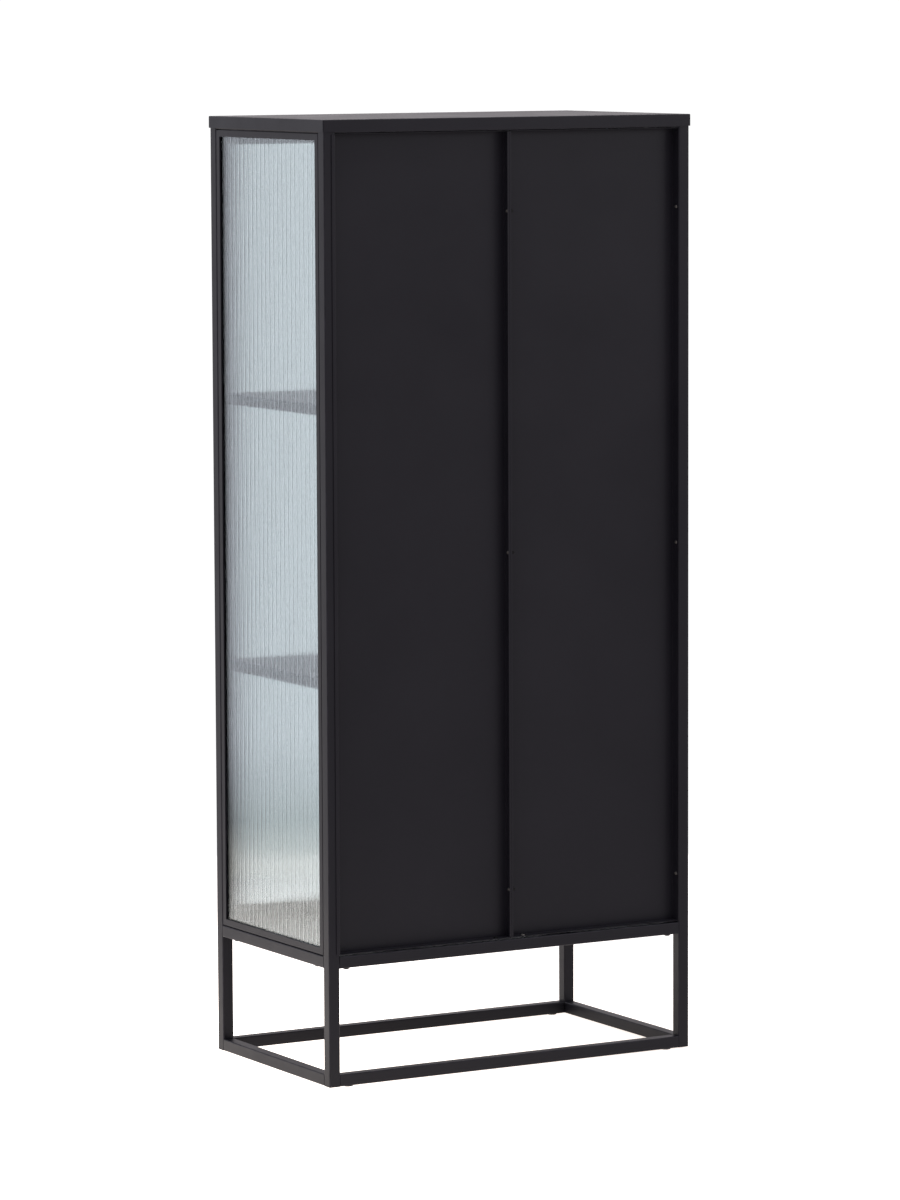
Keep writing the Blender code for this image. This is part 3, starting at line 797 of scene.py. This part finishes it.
def build_strike(side, body):
    """The plate that the catch holds, and the screw that holds the plate."""
    low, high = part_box(f"door_{side}_strike")
    bm = bmesh.new()
    add_bar(bm, low, high, radius=0.002, edge=0.0003, axis=1, steps=6, end_steps=2)
    piece(bm, f"strike_{side}", "strike_steel", body, [f"door_{side}_strike"])
    centre = middle(low, high)
    seat = (centre.x, high.y - STRIKE_SCREW_SINK, centre.z - STRIKE_SCREW_DROP)
    build_screw(f"strike_screw_{side}", body, STRIKE_SCREW, STRIKE_SCREW_LENGTH, seat, (0, 1, 0))


STOP_RISE = 0.0085  # height of the stop strip above the body rail
STOP_SHEET = 0.003
STOP_CLEARANCE = 0.0007  # from the closed doors
STOP_SEAM = 0.0001  # between the strip and the rail


def build_door_stop():
    """The flat strip on the front body rail that the doors close against."""
    rail_low, rail_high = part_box("front_body_rail")
    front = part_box("door_left_bottom_rail")[1].y + STOP_CLEARANCE
    low = Vector((rail_low.x, front, rail_high.z + STOP_SEAM))
    high = Vector((rail_high.x, front + STOP_SHEET, rail_high.z + STOP_RISE))
    bm = bmesh.new()
    add_bar(bm, low, high, radius=0.0005, edge=0.0004, axis=0)
    piece(bm, "door_stop_lower", "frame_coat", CABINET)


HINGE_RADIUS = 0.0044
HINGE_DOME = 0.0012
HINGE_CHAMFER = 0.0002
PIN_BARREL = 0.02985  # height of the lower half without its pin
PIN_RADIUS = 0.0025
PIN_TAPER = 0.001
BORE_RADIUS = 0.0026
BORE_DEPTH = 0.0225
WELD_FOOT = (0.0031, 0.0064)  # how far its two sides are from the hinge axis
WELD_FOOT_FRONT = 0.0002  # behind the hinge axis
WELD_FOOT_GAPS = {"pin": (0.0012, 0.0010), "sleeve": (0.0010, 0.0012)}  # below and above the foot


def pin_profile(height):
    """Barrel with a domed underside, and the pin that the door hangs on."""
    rows = [(0, 0)]
    rows += arc(HINGE_RADIUS, 0, HINGE_DOME, up=False)
    rows += [(HINGE_RADIUS, PIN_BARREL - HINGE_CHAMFER), (HINGE_RADIUS - HINGE_CHAMFER, PIN_BARREL)]
    rows += [(PIN_RADIUS, PIN_BARREL), (PIN_RADIUS, height - PIN_TAPER)]
    rows += [(PIN_RADIUS - PIN_TAPER, height), (0, height)]
    return rows


def sleeve_profile(height):
    """Barrel with a domed top, bored from below."""
    rows = [(0, BORE_DEPTH), (BORE_RADIUS, BORE_DEPTH), (BORE_RADIUS, 0)]
    rows += [(HINGE_RADIUS - HINGE_CHAMFER, 0), (HINGE_RADIUS, HINGE_CHAMFER)]
    rows += arc(HINGE_RADIUS, height, HINGE_DOME, up=True)
    rows += [(0, height)]
    return rows


def build_hinge_half(side, level, half, axis, towards):
    """One half of a hinge and the weld foot that joins it to its post or door, on this side of the axis."""
    node = f"hinge_{side}_{level}_{half}"
    low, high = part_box(node)
    height = high.z - low.z
    if half == "pin":
        body, profile, barrel = CABINET, pin_profile(height), PIN_BARREL
    else:
        body, profile, barrel = f"door_{side}", sleeve_profile(height), height
    bm = bmesh.new()
    add_lathe(bm, placer((axis[0], axis[1], low.z), (0, 0, 1)), profile, steps=40)
    near, far = sorted(axis[0] + towards * reach for reach in WELD_FOOT)
    gap_below, gap_above = WELD_FOOT_GAPS[half]
    foot_low = Vector((near, axis[1] + WELD_FOOT_FRONT, low.z + gap_below))
    foot_high = Vector((far, high.y, low.z + barrel - gap_above))
    add_bar(bm, foot_low, foot_high, radius=0.0005, edge=0.0004, axis=2, steps=4)
    name = f"hinge_{half}_{side}_{level}"
    piece(bm, name, "hinge_steel", body, [node], sharp=TURNED_SHARP_DEGREES)


def build_hinges():
    """Two hinges to a door: pins that point up on the post, and the door's sleeves over them."""
    for side, sign in SIDES.items():
        joint = next(j for j in frame["joints"] if j["name"] == f"door_{side}_hinge")
        for level in ("lower", "upper"):
            build_hinge_half(side, level, "pin", joint["pos_m"], sign)
            build_hinge_half(side, level, "sleeve", joint["pos_m"], -sign)


# ---------------------------------------------------------------- pieces: small parts
CATCH_EASE = 0.0009
CATCH_END = 0.0006  # how far each end of the moulding draws in
CATCH_NOSE_GAP = 0.0010  # under the top rail
CATCH_BODY_GAP = 0.0003  # behind the top rail
CATCH_PLATE_X = 0.0115
CATCH_PLATE_RISE = 0.0085  # from the catch's underside to the plate's middle
CATCH_PLATE_HALF = (0.0065, 0.0055)
CATCH_PLATE_PROUD = 0.0006
CATCH_PLATE_SUNK = 0.0012
CATCH_SCREW_LENGTH = 0.0030
CATCH_SCREW_X = 0.0190
CATCH_SCREW_DROP = 0.006  # from the catch's top
CATCH_SCREW_SINK = 0.0001


def draw_in(value, centre, inset):
    """Moves a coordinate towards the centre."""
    return value - inset if value > centre else value + inset


def build_catch():
    """Magnetic catch behind the top rail: a moulding with a nose under the rail, pole plates and screws."""
    low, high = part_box("magnetic_catch")
    rail_low, rail_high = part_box("front_top_rail")
    nose_top = rail_low.z - CATCH_NOSE_GAP
    behind_rail = rail_high.y + CATCH_BODY_GAP
    section = [
        (behind_rail, high.z),
        (high.y, high.z),
        (high.y, low.z),
        (low.y, low.z),
        (low.y, nose_top),
        (behind_rail, nose_top),
    ]
    outline = soften(section, CATCH_EASE)
    centre = middle(low, high)
    bm = bmesh.new()
    rings = []
    for x, inset in (
        (low.x, CATCH_END),
        (low.x + CATCH_END, 0.0),
        (high.x - CATCH_END, 0.0),
        (high.x, CATCH_END),
    ):
        rings.append(
            add_ring(
                bm,
                outline,
                lambda y, z: (x, draw_in(y, centre.y, inset), draw_in(z, centre.z, inset)),
            )
        )
    skin(bm, rings)
    piece(bm, "catch_body", "catch_plastic", CABINET, ["magnetic_catch"])
    half_width, half_height = CATCH_PLATE_HALF
    for side, sign in SIDES.items():
        centre = Vector((sign * CATCH_PLATE_X, low.y, low.z + CATCH_PLATE_RISE))
        plate_low = centre - Vector((half_width, CATCH_PLATE_PROUD, half_height))
        plate_high = centre + Vector((half_width, CATCH_PLATE_SUNK, half_height))
        bm = bmesh.new()
        add_bar(bm, plate_low, plate_high, radius=0.0012, edge=0.0003, axis=1, end_steps=2)
        piece(bm, f"catch_plate_{side}", "strike_steel", CABINET)
        seat = (sign * CATCH_SCREW_X, high.y - CATCH_SCREW_SINK, high.z - CATCH_SCREW_DROP)
        build_screw(f"catch_screw_{side}", CABINET, CATCH_SCREW, CATCH_SCREW_LENGTH, seat, (0, 1, 0))


GLIDE_DISC = 0.0017  # height of the disc
GLIDE_LOWER_ROUND = 0.0008
GLIDE_UPPER_ROUND = 0.0004
GLIDE_HEIGHT = 0.008
GLIDE_STEM = 0.003
GLIDE_TAPER = (0.0006, 0.0008)  # radius and height of the stem's bevelled end


def build_glides():
    """Glides under the foot rails: a disc on the floor and a stem up into the rail."""
    taper_in, taper_up = GLIDE_TAPER
    for end in ENDS:
        for side in SIDES:
            node = f"glide_{end}_{side}"
            low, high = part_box(node)
            centre = middle(low, high)
            radius = (high.x - low.x) / 2
            rows = [(0, 0)]
            rows += arc(radius, 0, GLIDE_LOWER_ROUND, up=False)
            rows += arc(radius, GLIDE_DISC, GLIDE_UPPER_ROUND, up=True)
            rows += [(GLIDE_STEM, GLIDE_DISC), (GLIDE_STEM, GLIDE_HEIGHT - taper_up)]
            rows += [(GLIDE_STEM - taper_in, GLIDE_HEIGHT), (0, GLIDE_HEIGHT)]
            bm = bmesh.new()
            add_lathe(bm, placer((centre.x, centre.y, low.z), (0, 0, 1)), rows)
            piece(bm, f"{node}_pad", "glide_plastic", CABINET, [node], sharp=TURNED_SHARP_DEGREES)


NUT_RADIUS = 0.0034
NUT_FLATS = 0.0022  # height of the hexagon
NUT_HEIGHT = 0.0087
NUT_DOME = 0.84 * NUT_RADIUS


def build_cap_nut(name, seat, outward):
    """Domed nut on the far side of a pan screw."""
    rows = [(0, 0), (NUT_RADIUS, 0, hexagon), (NUT_RADIUS, NUT_FLATS, hexagon)]
    rows += [(NUT_DOME, NUT_FLATS + 0.0004), (NUT_DOME, 0.0052)]
    rows += [(0.66 * NUT_RADIUS, 0.0072), (0.3 * NUT_RADIUS, 0.0084), (0, NUT_HEIGHT)]
    bm = bmesh.new()
    add_lathe(bm, placer(seat, outward), rows)
    piece(bm, name, "screw_steel", CABINET)


POST_SCREW_LENGTH = 0.0020
FOOT_SCREW_LENGTH = 0.0030
FOOT_SCREWS = {"right": (0.028, False), "left": (-0.025, True)}  # x, and whether its head gets the painted highlight
FOOT_SCREW_BACK = 0.0125  # behind the pan's front face


def build_screws():
    """Screws and nuts that join the pans, rows that hold them to the posts, and two screws at the foot."""
    # Pan and post screws get the painted highlight on their heads.
    for level in ("lower", "middle", "upper"):
        node = f"back_screw_{level}"
        low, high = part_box(node)
        centre = middle(low, high)
        seat = Vector((high.x - PAN_SCREW["head_height"], centre.y, centre.z))
        build_screw(
            f"pan_screw_{level}",
            CABINET,
            PAN_SCREW,
            seat.x - low.x,
            seat,
            (1, 0, 0),
            painted_highlight=True,
            nodes=[node],
        )
        build_cap_nut(f"pan_nut_{level}", (-PAN_SHEET - CENTRE_REACH, centre.y, centre.z), (-1, 0, 0))
        for side, sign in SIDES.items():
            pan_low, pan_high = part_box(f"back_panel_{side}")
            tip = pan_low.x if sign < 0 else pan_high.x
            seat = (tip - sign * (PAN_OVERLAP + PAN_SHEET), centre.y, centre.z)
            name = f"post_screw_{side}_{level}"
            build_screw(name, CABINET, POST_SCREW, POST_SCREW_LENGTH, seat, (-sign, 0, 0), painted_highlight=True)
    pan_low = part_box("back_panel_right")[0]
    for side, (x, painted_highlight) in FOOT_SCREWS.items():
        seat = (x, pan_low.y + FOOT_SCREW_BACK, pan_low.z + PAN_SHEET)
        build_screw(f"foot_screw_{side}", CABINET, FOOT_SCREW, FOOT_SCREW_LENGTH, seat, (0, 0, 1), painted_highlight)


BOLT_HEAD = 0.0055
BOLT_SHANK = 0.0028
BOLT_SHANK_LENGTH = 0.0010
BOLT_RIM = 0.0008  # straight part of the head
BOLT_DOME = 0.0024
BOLT_SOCKET = 0.0022
BOLTS_ACROSS = 0.314  # from the middle of a long rail
BOLTS_DEEP = 0.143  # from the middle of a side rail


def build_rail_bolts():
    """Button-head bolts under the body rails, with hexagon sockets."""
    top = BOLT_RIM + BOLT_DOME
    rows = [(0, -BOLT_SHANK_LENGTH), (BOLT_SHANK, -BOLT_SHANK_LENGTH), (BOLT_SHANK, 0.0)]
    rows += [(BOLT_HEAD, 0.0), (BOLT_HEAD, BOLT_RIM)]
    for step in range(1, 5):
        angle = math.pi / 2 * step / 5
        rows.append((BOLT_HEAD * (0.5 + 0.5 * math.cos(angle)), BOLT_RIM + BOLT_DOME * math.sin(angle)))
    rows += [(BOLT_SOCKET, top, hexagon), (BOLT_SOCKET - 0.0001, top - 0.0002, hexagon)]
    rows += [(BOLT_SOCKET - 0.0003, 0.0012, hexagon), (0, 0.0009)]
    for node, dx, dy in (
        ("front_body_rail", BOLTS_ACROSS, 0),
        ("back_body_rail", BOLTS_ACROSS, 0),
        ("side_body_rail_left", 0, BOLTS_DEEP),
        ("side_body_rail_right", 0, BOLTS_DEEP),
    ):
        low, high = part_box(node)
        centre = middle(low, high)
        for number, sign in ((1, -1), (2, 1)):
            seat = (centre.x + sign * dx, centre.y + sign * dy, low.z)
            bm = bmesh.new()
            add_lathe(bm, placer(seat, (0, 0, -1)), rows)
            piece(bm, f"{node}_bolt_{number}", "screw_steel", CABINET)


# ---------------------------------------------------------------- studio
FLOOR_RADIUS = 2.2
GLOW_PLACE = (0.75, -0.35, 0.0)  # to the right of the doors, where the side glass mirrors it
GLOW_STRENGTH = (2.45, 0.38)  # at its middle and far from it
GLOW_REACH = (0.2, 1.6)  # distances at which it starts and ends to fade


def build_floor():
    """Round pale floor with a soft glow beside the cabinet, as of daylight."""
    bm = bmesh.new()
    bmesh.ops.create_circle(bm, cap_ends=True, segments=96, radius=FLOOR_RADIUS)
    mesh = bpy.data.meshes.new("floor")
    bm.to_mesh(mesh)
    bm.free()
    floor = bpy.data.objects.new("floor", mesh)
    bpy.context.scene.collection.objects.link(floor)
    n = Nodes("studio_floor")
    n.set(Base_Color=(0.62, 0.60, 0.58, 1.0), Roughness=0.7, Emission_Color=(1.0, 0.91, 0.84, 1.0))
    reach = n.tree.nodes.new("ShaderNodeVectorMath")
    reach.operation = "DISTANCE"
    n.link(n.coords, reach.inputs[0])
    reach.inputs[1].default_value = GLOW_PLACE
    n.set(Emission_Strength=n.spread(reach.outputs["Value"], *GLOW_STRENGTH, *GLOW_REACH))
    mesh.materials.append(n.material)


# The room's colours by the height of the direction, from -1 straight down to 1 straight up.
BEYOND_DOORS = [
    (-0.25, (1.10, 1.10, 1.10)),
    (-0.10, (1.05, 1.05, 1.05)),
    (0.01, (1.05, 1.05, 1.05)),
    (0.05, (1.07, 1.00, 1.03)),
    (1.0, (1.05, 0.98, 1.03)),
]
BEYOND_SIDE = [  # with the dark line where that wall meets the floor
    (-0.25, (1.70, 1.56, 1.46)),
    (-0.157, (1.60, 1.50, 1.42)),
    (-0.153, (1.02, 1.00, 1.02)),
    (-0.147, (0.66, 0.68, 0.72)),
    (-0.138, (1.24, 1.24, 1.38)),
    (-0.132, (1.42, 1.42, 1.57)),
    (-0.05, (1.42, 1.42, 1.57)),
    (1.0, (1.20, 1.20, 1.26)),
]
BEHIND_BACK = [
    (-0.30, (1.50, 1.40, 1.38)),
    (-0.14, (1.30, 1.22, 1.25)),
    (-0.08, (0.80, 0.76, 0.86)),
    (0.05, (0.72, 0.69, 0.80)),
    (0.5, (0.85, 0.81, 0.94)),
    (1.0, (1.30, 1.27, 1.32)),
]
SIDE_BLEND = (-0.25, 0.25)  # over the direction's x
BACK_BLEND = (-0.15, 0.65)  # over its y


def build_world():
    """Bright walls beyond the doors and beyond the right side, and a dimmer room behind the back."""
    world = bpy.data.worlds.new("studio")
    bpy.context.scene.world = world
    world.use_nodes = True
    tree = world.node_tree
    background = tree.nodes["Background"]
    coords = tree.nodes.new("ShaderNodeTexCoord").outputs["Generated"]
    split = tree.nodes.new("ShaderNodeSeparateXYZ")
    tree.links.new(coords, split.inputs["Vector"])

    def wall(stops):
        """Colour ramp over the height of the direction."""
        node = tree.nodes.new("ShaderNodeValToRGB")
        spread = tree.nodes.new("ShaderNodeMapRange")
        spread.inputs["From Min"].default_value = -1.0
        tree.links.new(split.outputs["Z"], spread.inputs["Value"])
        tree.links.new(spread.outputs["Result"], node.inputs["Fac"])
        elements = node.color_ramp.elements
        for element, (at, color) in zip(elements, (stops[0], stops[-1])):
            element.position = (at + 1) / 2
            element.color = (*color, 1.0)
        for at, color in stops[1:-1]:
            element = elements.new((at + 1) / 2)
            element.color = (*color, 1.0)
        return node.outputs["Color"]

    def blend(value, start, end, first, second):
        """The first colour up to start, the second from end on."""
        turn = tree.nodes.new("ShaderNodeMapRange")
        turn.interpolation_type = "SMOOTHSTEP"
        turn.inputs["From Min"].default_value = start
        turn.inputs["From Max"].default_value = end
        tree.links.new(value, turn.inputs["Value"])
        node = tree.nodes.new("ShaderNodeMix")
        node.data_type = "RGBA"
        tree.links.new(turn.outputs["Result"], node.inputs["Factor"])
        tree.links.new(first, node.inputs[6])
        tree.links.new(second, node.inputs[7])
        return node.outputs[2]

    beyond = blend(split.outputs["X"], *SIDE_BLEND, wall(BEYOND_DOORS), wall(BEYOND_SIDE))
    room = blend(split.outputs["Y"], *BACK_BLEND, beyond, wall(BEHIND_BACK))
    tree.links.new(room, background.inputs["Color"])


def softbox(name, size, power, place, target):
    """A soft light panel. It isn't seen through glass, because behind reeds it speckles the boards."""
    data = bpy.data.lights.new(name, "AREA")
    data.shape = "RECTANGLE"
    data.size, data.size_y = size
    data.energy = power
    light = bpy.data.objects.new(name, data)
    bpy.context.scene.collection.objects.link(light)
    light.location = place
    light.rotation_mode = "QUATERNION"
    light.rotation_quaternion = (Vector(target) - Vector(place)).to_track_quat("-Z", "Y")
    light.visible_camera = False
    light.visible_transmission = False


def build_lights():
    """One broad panel overhead, and a small one behind and to the left of the cabinet's back."""
    softbox("top_softbox", size=(3.0, 3.0), power=160.0, place=(0.2, 0.0, 4.2), target=(0.0, 0.0, 0.8))
    softbox("room_softbox", size=(1.6, 1.2), power=42.0, place=(-2.9, 2.6, 2.4), target=(0.0, 0.2, 1.2))


CAMERA_PLACE = (4.6212, 8.0406, 1.7877)
CAMERA_LENS = 164.07
CAMERA_SENSOR = 36.0
CAMERA_AZIMUTH = math.radians(150.098)
CAMERA_TILT = math.radians(6.230)
CAMERA_ROLL = math.radians(-0.243)


def build_camera():
    """The photograph's camera, from a fit to the cabinet's straight edges."""
    data = bpy.data.cameras.new("camera")
    data.sensor_width = CAMERA_SENSOR
    data.lens = CAMERA_LENS
    data.clip_end = 100.0
    camera = bpy.data.objects.new("camera", data)
    bpy.context.scene.collection.objects.link(camera)
    level = math.cos(CAMERA_TILT)
    back_x = math.sin(CAMERA_AZIMUTH) * level
    back_y = -math.cos(CAMERA_AZIMUTH) * level
    back = Vector((back_x, back_y, math.sin(CAMERA_TILT)))
    right = Vector((0, 0, 1)).cross(back).normalized()
    up = back.cross(right)
    rolled_right = math.cos(CAMERA_ROLL) * right + math.sin(CAMERA_ROLL) * up
    rolled_up = -math.sin(CAMERA_ROLL) * right + math.cos(CAMERA_ROLL) * up
    turn = Matrix((rolled_right, rolled_up, back)).transposed()
    camera.matrix_world = Matrix.Translation(CAMERA_PLACE) @ turn.to_4x4()
    bpy.context.scene.camera = camera


build_camera()
build_tubes()
build_cap()
build_back_pans()
build_side_glazing()
build_boards()
build_cleats()
build_doors()
build_door_stop()
build_hinges()
build_catch()
build_glides()
build_screws()
build_rail_bolts()
build_floor()
build_world()
build_lights()
bpy.context.scene.view_settings.view_transform = "Standard"
